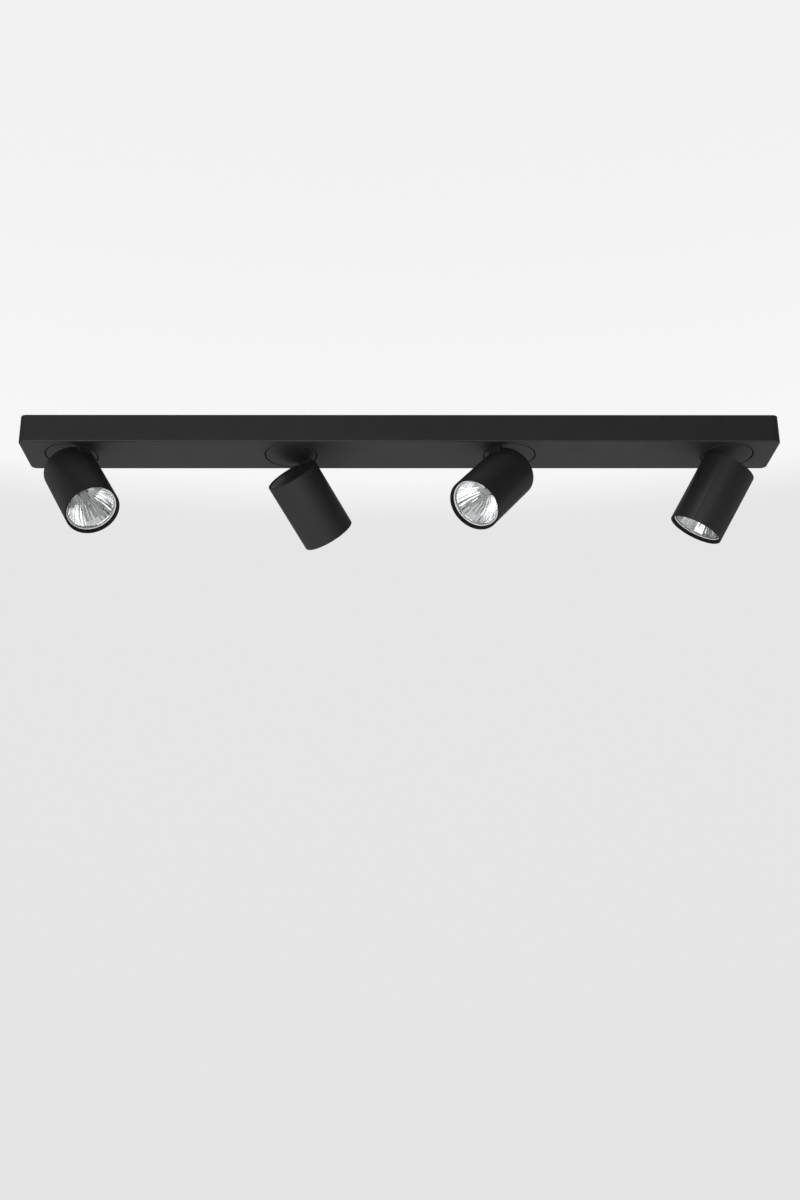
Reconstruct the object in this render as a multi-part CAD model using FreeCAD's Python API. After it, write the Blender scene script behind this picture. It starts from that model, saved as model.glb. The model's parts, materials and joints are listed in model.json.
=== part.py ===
import FreeCAD, Part
import math
import os

# A ceiling spotlight bar: a long shallow steel canopy with four cylindrical heads.
# Each head hangs from a round swivel disc set flush in the canopy's underside.
# The disc turns about the vertical, and the head tilts on a pin near the disc's rim.
# Millimetres, +Z up. X runs along the bar and -Y is its front.
# The origin is the centre of the face that lies on the ceiling; the bar hangs below it.

Vec = FreeCAD.Vector
ORIGIN = Vec(0, 0, 0)
X_AXIS = Vec(1, 0, 0)
Y_AXIS = Vec(0, 1, 0)
Z_AXIS = Vec(0, 0, 1)

# Canopy: the long folded box.
bar_length = 760.0
bar_depth = 62.0
bar_height = 29.5
corner_radius = 6.0
fold_radius = 1.5
sheet = 1.2
end_margin = 47.5           # from the bar's end to the first disc's centre
hole_radius = 26.7

# Heads at rest: the compass direction each mouth leans to, and its tilt from straight down.
head_directions = [-44.5, 50.5, -137.5, 163.0]
head_tilts = [38.0, 50.0, 45.0, 31.0]

# Swivel, measured up from the canopy's underside.
disc_radius = 25.5
disc_thickness = 1.5
plate_sheet = 1.2
plate_length = 72.0
plate_depth = 58.6
dish_radius = 27.4          # inside of the dish pressed into the bearing plate
dish_height = 8.0           # underside of the dish
stem_radius = 5.0
stem_top = 15.0
running_gap = 0.05          # radial clearance of a turning fit
stop_half_width = 1.7

# Hinge, measured from the disc's centre.
hinge_reach = 20.8          # outwards; the head's axis also lies this far from the hinge
hinge_drop = 9.4            # downwards
pin_radius = 1.5
knuckle_radius = 3.8
arm_half_width = 7.5
arm_half_thickness = 2.5
arm_side_gap = 0.3
notch_half_width = 9.0

# Head housing, measured from the hinge pin, with the head hanging straight down.
tube_radius = 27.25
tube_wall = 1.45
tube_length = 74.5
tube_top = 7.4
cap_recess = 0.8
cap_thickness = 3.0
mouth_depth = 3.3           # from the housing's mouth to the lamp's face

# Reflector lamp, 50 mm across, and its holder.
lamp_radius = 25.0
lamp_length = 47.5
holder_radius = 15.0
holder_height = 16.0
holder_gap = 0.6
contact_pitch = 5.0         # from the lamp's axis to each contact pin
contact_angle = 30.0        # how far the lamp is twisted into its holder

# Mounting bracket, terminals and leads.
bracket_sheet = 1.5
bracket_depth = 30.0
bracket_end_gap = 0.3
slot_spacing = 460.0
slot_length = 16.0
slot_width = 5.0
entry_radius = 8.0
entry_bore = 5.5
block_x = 55.0
block_length = 30.0
block_depth = 18.0
block_height = 16.0
pole_pitch = 10.0
core_radius = 0.9
core_plane = -6.0           # height at which the leads run along the bar

# Derived places.
underside = -bar_height
disc_positions = [end_margin - bar_length / 2 + i * (bar_length - 2 * end_margin) / 3 for i in range(4)]
tube_bore = tube_radius - tube_wall
cap_top = tube_top - cap_recess
cap_bottom = cap_top - cap_thickness
lamp_face = tube_top - tube_length + mouth_depth
lamp_base = lamp_face + lamp_length
holder_bottom = lamp_base + holder_gap
holder_top = holder_bottom + holder_height
block_bottom = -bracket_sheet - block_height
pole_height = block_bottom + 6.5


# --- Basic solids ---------------------------------------------------------------------

def upright(radius, low, high, x=0.0, y=0.0):
    """A vertical cylinder between two heights."""
    return Part.makeCylinder(radius, high - low, Vec(x, y, low), Z_AXIS)


def across(radius, start, end, x=0.0, z=0.0):
    """A cylinder along Y between two depths."""
    return Part.makeCylinder(radius, end - start, Vec(x, start, z), Y_AXIS)


def block(x_range, y_range, z_range):
    """A box given by its lowest and highest X, Y and Z."""
    sizes = [high - low for low, high in (x_range, y_range, z_range)]
    return Part.makeBox(*sizes, Vec(x_range[0], y_range[0], z_range[0]))


def ring(outer, inner, low, high, x=0.0, y=0.0):
    """A vertical tube or washer."""
    return upright(outer, low, high, x, y).cut(upright(inner, low - 1, high + 1, x, y))


def rounded_plate(length, depth, radius, low, high):
    """A flat plate with rounded corners seen from above."""
    plate = block((-length / 2, length / 2), (-depth / 2, depth / 2), (low, high))
    uprights = [e for e in plate.Edges if abs(e.Vertexes[0].Z - e.Vertexes[1].Z) > 1e-6]
    return plate.makeFillet(radius, uprights)


def obround(length, width, low, high, x=0.0, y=0.0):
    """A slot along X with half-round ends."""
    reach = (length - width) / 2
    middle = block((x - reach, x + reach), (y - width / 2, y + width / 2), (low, high))
    return middle.fuse([upright(width / 2, low, high, x + side * reach, y) for side in (-1, 1)])


def hexagon(across_flats, low, high):
    """An upright hexagonal prism."""
    radius = across_flats / math.sqrt(3)
    corners = [Vec(radius * math.cos(math.radians(60 * k)), radius * math.sin(math.radians(60 * k)), low)
               for k in range(7)]
    return Part.Face(Part.makePolygon(corners)).extrude(Vec(0, 0, high - low))


def routed_core(points, radius, label):
    """A round wire along straight runs joined by tangent arcs."""
    vectors = [Vec(*p) for p in points]
    edges = []
    start = vectors[0]
    bends = []
    for before, corner, after in zip(vectors, vectors[1:], vectors[2:]):
        arriving = (corner - before).normalize()
        leaving = (after - corner).normalize()
        turn = math.acos(max(-1.0, min(1.0, arriving.dot(leaving))))
        reach = 0.45 * min((corner - before).Length, (after - corner).Length)
        bend = reach / math.tan(turn / 2)
        bends.append(round(bend, 1))
        enter = corner - arriving * reach
        leave = corner + leaving * reach
        towards = (leaving - arriving).normalize()
        middle = corner + towards * (math.hypot(bend, reach) - bend)
        edges.append(Part.LineSegment(start, enter).toShape())
        edges.append(Part.Arc(enter, middle, leave).toShape())
        start = leave
    edges.append(Part.LineSegment(start, vectors[-1]).toShape())
    path = Part.Wire(edges)
    outline = Part.Wire([Part.makeCircle(radius, vectors[0], vectors[1] - vectors[0])])
    core = path.makePipeShell([outline], True, True)
    expected = math.pi * radius ** 2 * path.Length
    print(label, "length", round(path.Length, 1), "volume ratio", round(core.Volume / expected, 4),
          "bend radii", bends)
    return core


# --- Fixed pieces ---------------------------------------------------------------------

grub_radius = 2.0
grub_height = underside / 2
grub_length = 8.0


def canopy():
    """Folded steel box, open upwards, with a hole for each swivel disc."""
    outside = rounded_plate(bar_length, bar_depth, corner_radius, underside, 0)
    bottom = [e for e in outside.Edges if all(abs(v.Z - underside) < 1e-6 for v in e.Vertexes)]
    outside = outside.makeFillet(fold_radius, bottom)
    inside = rounded_plate(bar_length - 2 * sheet, bar_depth - 2 * sheet, corner_radius - sheet,
                           underside + sheet, 1)
    shell = outside.cut(inside)
    for x in disc_positions:
        shell = shell.cut(upright(hole_radius, underside - 1, underside + 2 * sheet, x))
    past_end = Vec(-bar_length / 2 - 1, 0, grub_height)
    return shell.cut(Part.makeCylinder(grub_radius, bar_length + 2, past_end, X_AXIS))


tab_outer = bar_length / 2 - sheet - bracket_end_gap
tab_drop = 5.0              # how far a tab reaches below its screw
earth_x = 100.0
earth_screw_radius = 2.0


def mounting_bracket():
    """Flat strip against the ceiling, with a turned-down tab at each end for the canopy screws."""
    strip = rounded_plate(2 * tab_outer, bracket_depth, 2.0, -bracket_sheet, 0)
    for side in (-1, 1):
        faces = sorted((side * tab_outer, side * (tab_outer - 2 * bracket_sheet)))
        strip = strip.fuse(block(faces, (-bracket_depth / 4, bracket_depth / 4), (grub_height - tab_drop, 0)))
        strip = strip.cut(obround(slot_length, slot_width, -5, 1, side * slot_spacing / 2))
    strip = strip.cut(upright(entry_radius, -5, 1))
    strip = strip.cut(upright(earth_screw_radius, -5, 1, earth_x))
    hole = Part.makeCylinder(grub_radius, 2 * bar_length, Vec(-bar_length, 0, grub_height), X_AXIS)
    return strip.cut(hole).removeSplitter()


def canopy_screws():
    """Two socket grub screws through the end walls into the bracket's tabs."""
    screws = []
    for side in (-1, 1):
        outer_end = Vec(side * (bar_length / 2 - 0.2), 0, grub_height)
        inward = Vec(-side, 0, 0)
        screw = Part.makeCylinder(grub_radius, grub_length, outer_end, inward)
        socket = hexagon(2.0, 0, 2.5)
        socket.rotate(ORIGIN, Y_AXIS, -90 * side)
        socket.translate(outer_end)
        screws.append(screw.cut(socket))
    return Part.makeCompound(screws)


def bearing_plate(x):
    """Dished plate over one canopy hole, with the hub hole and the rotation stop on its +X side."""
    flange_top = sheet + plate_sheet
    dish_top = dish_height + plate_sheet
    plate = rounded_plate(plate_length, plate_depth, 3.0, sheet, flange_top)
    plate = plate.fuse(upright(dish_radius + plate_sheet, sheet, dish_top))
    plate = plate.cut(upright(dish_radius, 0, dish_height))
    plate = plate.cut(upright(stem_radius + running_gap, 0, dish_top + 1))
    stop_width = (-stop_half_width, stop_half_width)
    stop = block((disc_radius - 4, dish_radius + 0.3), stop_width, (4.0, dish_height + 0.1))
    plate = plate.fuse(stop).removeSplitter()
    plate.translate(Vec(x, 0, underside))
    return plate


def entry_bush():
    """Snap-in bush that lines the cable hole, with its collar under the strip."""
    collar = ring(entry_radius + 2.5, entry_bore, -bracket_sheet - 2.0, -bracket_sheet)
    return collar.fuse(ring(entry_radius, entry_bore, -bracket_sheet, 0)).removeSplitter()


pole_positions = [block_x + pole_pitch * k for k in (-1, 0, 1)]
barrel_radius = 3.5
barrel_bore = 2.4
barrel_half_length = 7.5
clamp_screw_radius = 1.5
clamp_screw_offset = 4.0


def terminal_block():
    """Moulded three-pole block whose poles run from front to back."""
    x_range = (block_x - block_length / 2, block_x + block_length / 2)
    body = block(x_range, (-block_depth / 2, block_depth / 2), (block_bottom, -bracket_sheet))
    for x in pole_positions:
        body = body.cut(across(barrel_radius, -barrel_half_length, barrel_half_length, x, pole_height))
        body = body.cut(across(barrel_bore, -block_depth, block_depth, x, pole_height))
        for y in (-clamp_screw_offset, clamp_screw_offset):
            body = body.cut(upright(clamp_screw_radius + 0.6, block_bottom - 1, pole_height, x, y))
    return body


def terminal_clamps():
    """Three brass barrels with two tapped holes each."""
    barrels = []
    for x in pole_positions:
        barrel = across(barrel_radius, -barrel_half_length, barrel_half_length, x, pole_height)
        barrel = barrel.cut(across(barrel_bore, -block_depth, block_depth, x, pole_height))
        for y in (-clamp_screw_offset, clamp_screw_offset):
            barrel = barrel.cut(upright(clamp_screw_radius, block_bottom, pole_height, x, y))
        barrels.append(barrel)
    return Part.makeCompound(barrels)


def terminal_screws():
    """Six slotted clamping screws, reached from below."""
    screws = []
    low = block_bottom + 1.0
    for x in pole_positions:
        for y in (-clamp_screw_offset, clamp_screw_offset):
            screw = upright(clamp_screw_radius, low, pole_height - 1.6, x, y)
            slot = block((x - 2, x + 2), (y - 0.3, y + 0.3), (low - 1, low + 0.6))
            screws.append(screw.cut(slot))
    return Part.makeCompound(screws)


earth_core_radius = 1.1
tag_sheet = 0.8
tag_barrel_radius = 1.6


def earth_screw():
    """Pan-head screw that clamps the earth tag under the bracket."""
    low = -bracket_sheet - tag_sheet
    shank = upright(earth_screw_radius, low, 0, earth_x)
    head = upright(3.8, low - 2.4, low, earth_x)
    slot = block((earth_x - 5, earth_x + 5), (-0.5, 0.5), (low - 3, low - 1.4))
    return shank.fuse(head).cut(slot)


def earth_lead():
    """Earth wire from the terminal block to its crimped ring tag."""
    tag_low = -bracket_sheet - tag_sheet
    barrel_height = -bracket_sheet - tag_barrel_radius
    eye = upright(4.5, tag_low, -bracket_sheet, earth_x)
    neck = block((earth_x - 7, earth_x), (-1.5, 1.5), (tag_low, -bracket_sheet))
    barrel = Part.makeCylinder(tag_barrel_radius, 7, Vec(earth_x - 13, 0, barrel_height), X_AXIS)
    hole = upright(earth_screw_radius, tag_low - 1, 0, earth_x)
    tag = eye.fuse([neck, barrel]).cut(hole).removeSplitter()
    pole = pole_positions[2]
    route = [(pole, block_depth / 2, pole_height), (pole, 15, pole_height),
             (pole + 10, 8, -7), (pole + 15, 0, barrel_height), (earth_x - 13, 0, barrel_height)]
    return Part.makeCompound([tag, routed_core(route, earth_core_radius, "earth_lead")])


first_lane = 15.5           # depth of the nearest lead's run; the others lie beside it
lane_pitch = 2.6


def head_core(pole, lane, index):
    """One wire from a terminal pole, along the bar and down into a head's hollow stem."""
    way = 1 if index > 1 else -1
    far = index in (0, 3)
    x = disc_positions[index]
    lane_y = first_lane + lane_pitch * (lane + (2 if far else 0))
    stem_y = lane_pitch * (lane - 0.5)
    start_x = pole + way
    start_z = pole_height + (1 if far else -1)
    route = [(start_x, block_depth / 2, start_z), (start_x, lane_y, start_z),
             (start_x + way * 8, lane_y, core_plane), (x - way * 26, lane_y, core_plane),
             (x, stem_y, core_plane), (x, stem_y, underside + stem_top - 2.5)]
    return routed_core(route, core_radius, "core to head %d" % (index + 1))


def live_leads():
    """Four live wires, one to each head."""
    return Part.makeCompound([head_core(pole_positions[0], 0, i) for i in range(4)])


def neutral_leads():
    """Four neutral wires, one to each head, beside the live ones."""
    return Part.makeCompound([head_core(pole_positions[1], 1, i) for i in range(4)])


# --- Swivel pieces, about the disc's centre at the canopy's underside, leaning to +X ----

rivet_offset = 5.4
rivet_radius = 1.5
passage_half = 1.2          # half the thickness of the way through the arm for the leads


def swivel_disc():
    """Round plate with a lead slot and rivet holes under the arm, and a stop lug opposite."""
    disc = upright(disc_radius, 0, disc_thickness)
    rim = [e for e in disc.Edges if e.Curve.TypeId == "Part::GeomCircle" and abs(e.Vertexes[0].Z) < 1e-6]
    disc = disc.makeChamfer(0.3, rim)
    passage = (hinge_reach - passage_half, hinge_reach + passage_half)
    disc = disc.cut(block(passage, (-3, 3), (-1, disc_thickness + 1)))
    for y in (-rivet_offset, rivet_offset):
        disc = disc.cut(upright(rivet_radius, -1, disc_thickness + 1, hinge_reach, y))
    lug = block((2.0 - disc_radius, 4.0 - disc_radius), (-stop_half_width, stop_half_width), (0.5, 6.5))
    return disc.fuse(lug).removeSplitter()


def hinge_arm():
    """Hollow cast arm with the pivot knuckle below and two peened spigots above."""
    low = -hinge_drop
    leg = block((hinge_reach - arm_half_thickness, hinge_reach + arm_half_thickness),
                (-arm_half_width, arm_half_width), (low, 0))
    corners = [e for e in leg.Edges if abs(e.Vertexes[0].Z - e.Vertexes[1].Z) > 1e-6]
    leg = leg.makeFillet(1.0, corners)
    arm = leg.fuse(across(knuckle_radius, -arm_half_width, arm_half_width, hinge_reach, low))
    for y in (-rivet_offset, rivet_offset):
        arm = arm.fuse([upright(rivet_radius, -1, disc_thickness, hinge_reach, y),
                        upright(rivet_radius + 1, disc_thickness, disc_thickness + 1, hinge_reach, y)])
    arm = arm.cut(across(pin_radius + running_gap, -bar_depth, bar_depth, hinge_reach, low))
    passage_end = low + knuckle_radius + 0.4
    outer_wall = hinge_reach + passage_half
    passage = block((hinge_reach - passage_half, outer_wall), (-3, 3), (passage_end, 1))
    past_inside = hinge_reach - 2 * arm_half_thickness
    outlet = block((past_inside, outer_wall), (-3, 3), (passage_end, passage_end + 2.4))
    return arm.cut(passage).cut(outlet).removeSplitter()


def hub_stem():
    """Hollow stem with a shoulder, welded to the disc's back, and a side window for the leads."""
    shoulder_top = dish_height - 1.0
    stem = upright(9.0, disc_thickness, shoulder_top)
    stem = stem.fuse(upright(stem_radius, disc_thickness, stem_top))
    stem = stem.cut(upright(stem_radius - 1.4, 2 * disc_thickness, stem_top + 1))
    window = block((0, 10), (-2.6, 2.6), (2 * disc_thickness, shoulder_top - 1))
    return stem.cut(window).removeSplitter()


def hub_fixings():
    """Friction washer under the bearing plate, and a spring washer and thin nut over it."""
    plate_top = dish_height + plate_sheet
    friction = ring(9.0, stem_radius + 0.1, dish_height - 0.97, dish_height - 0.03)
    spring = ring(8.5, stem_radius + 0.1, plate_top + 0.03, plate_top + 1.1)
    nut = hexagon(14.0, plate_top + 1.1, plate_top + 4.1)
    nut = nut.cut(upright(stem_radius, 0, stem_top))
    return Part.makeCompound([friction, spring, nut])


# --- Head pieces, about the hinge pin, hanging straight down, leaning to +X -------------

notch_bottom = -arm_half_thickness - 0.8


def head_tube():
    """Round housing with a notch at the top on the hinge side."""
    mouth = tube_top - tube_length
    tube = upright(tube_radius, mouth, tube_top, -hinge_reach)
    rims = [e for e in tube.Edges if e.Curve.TypeId == "Part::GeomCircle"]
    tube = tube.makeFillet(0.4, rims)
    tube = tube.cut(upright(tube_bore, mouth - 1, tube_top + 1, -hinge_reach))
    notch = block((0, tube_radius), (-notch_half_width, notch_half_width), (notch_bottom, tube_top + 1))
    return tube.cut(notch)


ear_thickness = 1.5
ear_radius = 3.0
ear_inside = arm_half_width + arm_side_gap
ear_outside = ear_inside + ear_thickness
holder_screw_radius = 1.5
screw_offset = 10.0
screw_hole_top = cap_top - 0.8


def top_cap():
    """Cast plate with a slot for the arm, an ear each side of it and two blind tapped holes."""
    cap = upright(tube_bore, cap_bottom, cap_top, -hinge_reach)
    through = (cap_bottom - 1, cap_top + 1)
    arm_slot = block((-arm_half_thickness - 0.4, tube_radius), (-ear_inside, ear_inside), through)
    cap = cap.cut(arm_slot)
    for side in (-1, 1):
        low, high = sorted((side * ear_inside, side * ear_outside))
        ear = block((-ear_radius, ear_radius), (low, high), (0, cap_top - 0.5))
        cap = cap.fuse([ear, across(ear_radius, low, high)])
        tapped = upright(holder_screw_radius, 0, screw_hole_top, -hinge_reach, side * screw_offset)
        cap = cap.cut(tapped)
    return cap.cut(across(pin_radius, -bar_depth, bar_depth)).removeSplitter()


def pivot_pin():
    """Headed pin, peened over the far ear."""
    peened_end = ear_outside + 0.9
    shank = across(pin_radius, -ear_outside, peened_end)
    head = across(2.4, -ear_outside - 1.3, -ear_outside)
    peened = across(2.0, ear_outside, peened_end)
    return shank.fuse([head, peened]).removeSplitter()


contact_slot_radius = 2.7
contact_slot_depth = 9.0


def contact_place(angle):
    """Where a contact pin stands, as X and Y from the lamp's axis."""
    turn = math.radians(angle)
    return contact_pitch * math.cos(turn), contact_pitch * math.sin(turn)


def contact_slots():
    """Two curved sockets that the lamp's pins twist into."""
    slots = []
    for first in (0.0, 180.0):
        outer = contact_pitch + contact_slot_radius
        slot = Part.makeCylinder(outer, contact_slot_depth, ORIGIN, Z_AXIS, contact_angle)
        slot = slot.cut(upright(contact_pitch - contact_slot_radius, -1, contact_slot_depth + 1))
        for angle in (0.0, contact_angle):
            slot = slot.fuse(upright(contact_slot_radius, 0, contact_slot_depth, *contact_place(angle)))
        slot.rotate(ORIGIN, Z_AXIS, first)
        slots.append(slot)
    return slots


boss_radius = 3.2
screw_head_radius = 2.75
screw_head_height = 1.9
counterbore_depth = 2.4


def lampholder():
    """Ceramic holder on two bosses, with counterbored screw holes."""
    holder = upright(holder_radius, holder_bottom, holder_top)
    rims = [e for e in holder.Edges if e.Curve.TypeId == "Part::GeomCircle"]
    holder = holder.makeChamfer(0.6, rims)
    for y in (-screw_offset, screw_offset):
        holder = holder.fuse(upright(boss_radius, holder_top - 1, cap_bottom, 0, y))
    for y in (-screw_offset, screw_offset):
        holder = holder.cut(upright(holder_screw_radius + 0.1, holder_bottom - 1, cap_bottom + 1, 0, y))
        holder = holder.cut(upright(boss_radius, holder_bottom - 1, holder_bottom + counterbore_depth, 0, y))
    for slot in contact_slots():
        slot.translate(Vec(0, 0, holder_bottom))
        holder = holder.cut(slot)
    holder = holder.removeSplitter()
    holder.translate(Vec(-hinge_reach, 0, 0))
    return holder


def holder_screws():
    """Two slotted screws from the holder's face up into the cap."""
    screws = []
    seat = holder_bottom + counterbore_depth
    low = seat - screw_head_height
    for y in (-screw_offset, screw_offset):
        shank = upright(holder_screw_radius, seat, screw_hole_top - 0.2, -hinge_reach, y)
        head = upright(screw_head_radius, low, seat, -hinge_reach, y)
        slot = block((-hinge_reach - 4, -hinge_reach + 4), (y - 0.4, y + 0.4), (low - 1, low + 0.8))
        screws.append(shank.fuse(head).cut(slot))
    return Part.makeCompound(screws)


# The lamp's sections are radii at heights over its face.
rim_height = 2.6
glass_radius = 23.6
glass_low = 0.3
glass_high = 1.8
reflector_radius = 23.2
reflector_vertex = 29.8
shell_vertex = 33.0
shell_radius = 24.4
neck_radius = 8.8
burner_bore = 5.2
bore_top = 40.0
base_low = 36.0
base_radius = 10.5


def bowl_curve(rim_radius, rim_at, vertex, end_radius):
    """A parabola's arc from the rim to a smaller radius, as points (radius, height)."""
    scale = rim_radius ** 2 / (vertex - rim_at)
    steps = 8
    radii = [rim_radius + (end_radius - rim_radius) * k / steps for k in range(steps + 1)]
    return [Vec(r, 0, vertex - r ** 2 / scale) for r in radii]


def smooth_edge(points):
    """One smooth edge through a list of points."""
    curve = Part.BSplineCurve()
    curve.interpolate(points)
    return curve.toShape()


def lamp_body():
    """Moulded glass reflector with its neck and base, and two mushroom contact pins."""
    outer = bowl_curve(shell_radius, rim_height, shell_vertex, neck_radius)
    inner = bowl_curve(reflector_radius, glass_high, reflector_vertex, burner_bore)
    corners_up = [Vec(glass_radius, 0, 0), Vec(lamp_radius, 0, 0), Vec(lamp_radius, 0, rim_height), outer[0]]
    corners_over = [outer[-1], Vec(neck_radius, 0, base_low), Vec(base_radius, 0, base_low),
                    Vec(base_radius, 0, lamp_length), Vec(0, 0, lamp_length), Vec(0, 0, bore_top),
                    Vec(burner_bore, 0, bore_top), inner[-1]]
    corners_back = [inner[0], Vec(glass_radius, 0, glass_high), Vec(glass_radius, 0, 0)]
    edges = [Part.makeLine(a, b) for a, b in zip(corners_up, corners_up[1:])]
    edges.append(smooth_edge(outer))
    edges += [Part.makeLine(a, b) for a, b in zip(corners_over, corners_over[1:])]
    edges.append(smooth_edge(inner[::-1]))
    edges += [Part.makeLine(a, b) for a, b in zip(corners_back, corners_back[1:])]
    glass = Part.Face(Part.Wire(edges)).revolve(ORIGIN, Z_AXIS, 360)
    solids = [glass]
    pin_end = lamp_length + 6.6
    for angle in (contact_angle, contact_angle + 180):
        x, y = contact_place(angle)
        pin = upright(1.6, lamp_length, pin_end, x, y)
        solids.append(pin.fuse(upright(2.45, pin_end - 2.6, pin_end, x, y)).removeSplitter())
    return on_lamp_axis(Part.makeCompound(solids))


def lamp_glass():
    """Clear front glass seated in the reflector's rim."""
    return on_lamp_axis(upright(glass_radius, glass_low, glass_high))


def lamp_burner():
    """Quartz capsule with a domed tip and a flat pinched seal in the neck."""
    radius = 4.2
    tip = 9.0
    dome = Part.makeSphere(radius, Vec(0, 0, tip + radius))
    capsule = dome.fuse(upright(radius, tip + radius, tip + 17))
    seal = block((-radius + 0.2, radius - 0.2), (-1.3, 1.3), (tip + 16, bore_top))
    return on_lamp_axis(capsule.fuse(seal).removeSplitter())


def on_lamp_axis(shape):
    """Move a shape from the lamp's own axis and face into the head."""
    shape.translate(Vec(-hinge_reach, 0, lamp_face))
    return shape


# --- Assembly -------------------------------------------------------------------------

def at_swivel(shape, index):
    """Turn a swivel piece to its head's direction and put it under the canopy."""
    shape.rotate(ORIGIN, Z_AXIS, head_directions[index])
    shape.translate(Vec(disc_positions[index], 0, underside))
    return shape


def at_head(shape, index):
    """Tilt a head piece on its pin, then place it with its swivel."""
    shape.rotate(ORIGIN, Y_AXIS, -head_tilts[index])
    shape.translate(Vec(hinge_reach, 0, -hinge_drop))
    return at_swivel(shape, index)


FIXED_PIECES = [canopy, mounting_bracket, canopy_screws, entry_bush, terminal_block, terminal_clamps,
                terminal_screws, earth_screw, earth_lead, live_leads, neutral_leads]
SWIVEL_PIECES = [swivel_disc, hinge_arm, hub_stem, hub_fixings]
HEAD_PIECES = [head_tube, top_cap, pivot_pin, lampholder, holder_screws, lamp_body, lamp_glass, lamp_burner]


def assemble():
    """Every node by name."""
    nodes = {make.__name__: make() for make in FIXED_PIECES}
    nodes["bearing_plates"] = Part.makeCompound([bearing_plate(x) for x in disc_positions])
    for index in range(4):
        number = "_%d" % (index + 1)
        for make in SWIVEL_PIECES:
            nodes[make.__name__ + number] = at_swivel(make(), index)
        for make in HEAD_PIECES:
            nodes[make.__name__ + number] = at_head(make(), index)
    return nodes


os.makedirs("parts", exist_ok=True)
nodes = assemble()
for name, shape in nodes.items():
    shape.exportStep("parts/%s.step" % name)
    print(name, "solids", len(shape.Solids), "volume", round(shape.Volume, 1), "valid", shape.isValid())
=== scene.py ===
import json
import math

import bmesh
import bpy
from mathutils import Matrix, Vector


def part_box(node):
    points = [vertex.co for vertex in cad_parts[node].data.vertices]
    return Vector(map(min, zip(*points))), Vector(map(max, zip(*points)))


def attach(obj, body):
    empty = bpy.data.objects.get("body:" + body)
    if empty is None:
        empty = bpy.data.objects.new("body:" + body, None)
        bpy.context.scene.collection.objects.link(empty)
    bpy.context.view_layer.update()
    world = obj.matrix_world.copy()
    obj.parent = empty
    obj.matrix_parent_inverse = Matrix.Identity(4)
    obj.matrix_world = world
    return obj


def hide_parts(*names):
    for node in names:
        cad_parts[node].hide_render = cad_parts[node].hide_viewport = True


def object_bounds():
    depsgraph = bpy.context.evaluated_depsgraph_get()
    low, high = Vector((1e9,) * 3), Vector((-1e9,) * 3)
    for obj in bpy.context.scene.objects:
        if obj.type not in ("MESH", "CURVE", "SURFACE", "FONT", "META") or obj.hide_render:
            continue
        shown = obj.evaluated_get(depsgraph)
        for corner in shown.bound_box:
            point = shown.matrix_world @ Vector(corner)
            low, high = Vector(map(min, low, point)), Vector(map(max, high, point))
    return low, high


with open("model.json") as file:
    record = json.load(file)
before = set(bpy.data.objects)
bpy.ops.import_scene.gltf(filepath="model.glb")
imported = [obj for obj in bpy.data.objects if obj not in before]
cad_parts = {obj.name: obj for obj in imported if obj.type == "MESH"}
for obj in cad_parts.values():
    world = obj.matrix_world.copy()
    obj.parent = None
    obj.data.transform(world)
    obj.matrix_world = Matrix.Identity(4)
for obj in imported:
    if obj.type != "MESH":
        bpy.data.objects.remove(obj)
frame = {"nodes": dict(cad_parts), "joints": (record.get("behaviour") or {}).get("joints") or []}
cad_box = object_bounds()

camera_place = Vector((-0.0175, -1.2642, -0.6607))
camera_heading = math.radians(0.743)
camera_pitch = math.radians(20.567)
camera_roll = math.radians(-0.331)

camera_data = bpy.data.cameras.new("camera")
camera_data.sensor_width = 36.0
camera_data.lens = 41.54
camera_data.clip_start = 0.01
camera_data.clip_end = 50.0
camera = bpy.data.objects.new("camera", camera_data)
bpy.context.scene.collection.objects.link(camera)
camera.matrix_world = (
    Matrix.Translation(camera_place)
    @ Matrix.Rotation(-camera_heading, 4, "Z")
    @ Matrix.Rotation(math.pi / 2 + camera_pitch, 4, "X")
    @ Matrix.Rotation(camera_roll, 4, "Z")
)
bpy.context.scene.camera = camera


# Studio. A pale painted floor far below the bar, a pale surround and two large soft lamps. The
# surround seen is a little darker below the line where ceiling meets wall. The one that lights
# the bar is not the one seen: it is brighter behind, with a dark screen towards each side.
def joined(tree, source, output, target, entry):
    """Join one node's output to another's input, both by name or number."""
    tree.links.new(source.outputs[output], target.inputs[entry])


def math_node(tree, operation, first, second=None, third=None):
    """A Math node whose inputs are numbers or sockets."""
    node = tree.nodes.new("ShaderNodeMath")
    node.operation = operation
    for entry, value in zip(node.inputs, (first, second, third)):
        if value is None:
            continue
        if isinstance(value, (int, float)):
            entry.default_value = value
        else:
            tree.links.new(value, entry)
    return node.outputs[0]


def ramp_node(tree, factor, stops):
    """A colour ramp with stops of (position, grey or colour)."""
    node = tree.nodes.new("ShaderNodeValToRGB")
    elements = node.color_ramp.elements
    while len(elements) > 1:
        elements.remove(elements[-1])
    for number, (position, colour) in enumerate(stops):
        element = elements[0] if number == 0 else elements.new(position)
        element.position = position
        element.color = (*colour, 1.0) if isinstance(colour, tuple) else (colour, colour, colour, 1.0)
    tree.links.new(factor, node.inputs["Fac"])
    return node


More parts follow.
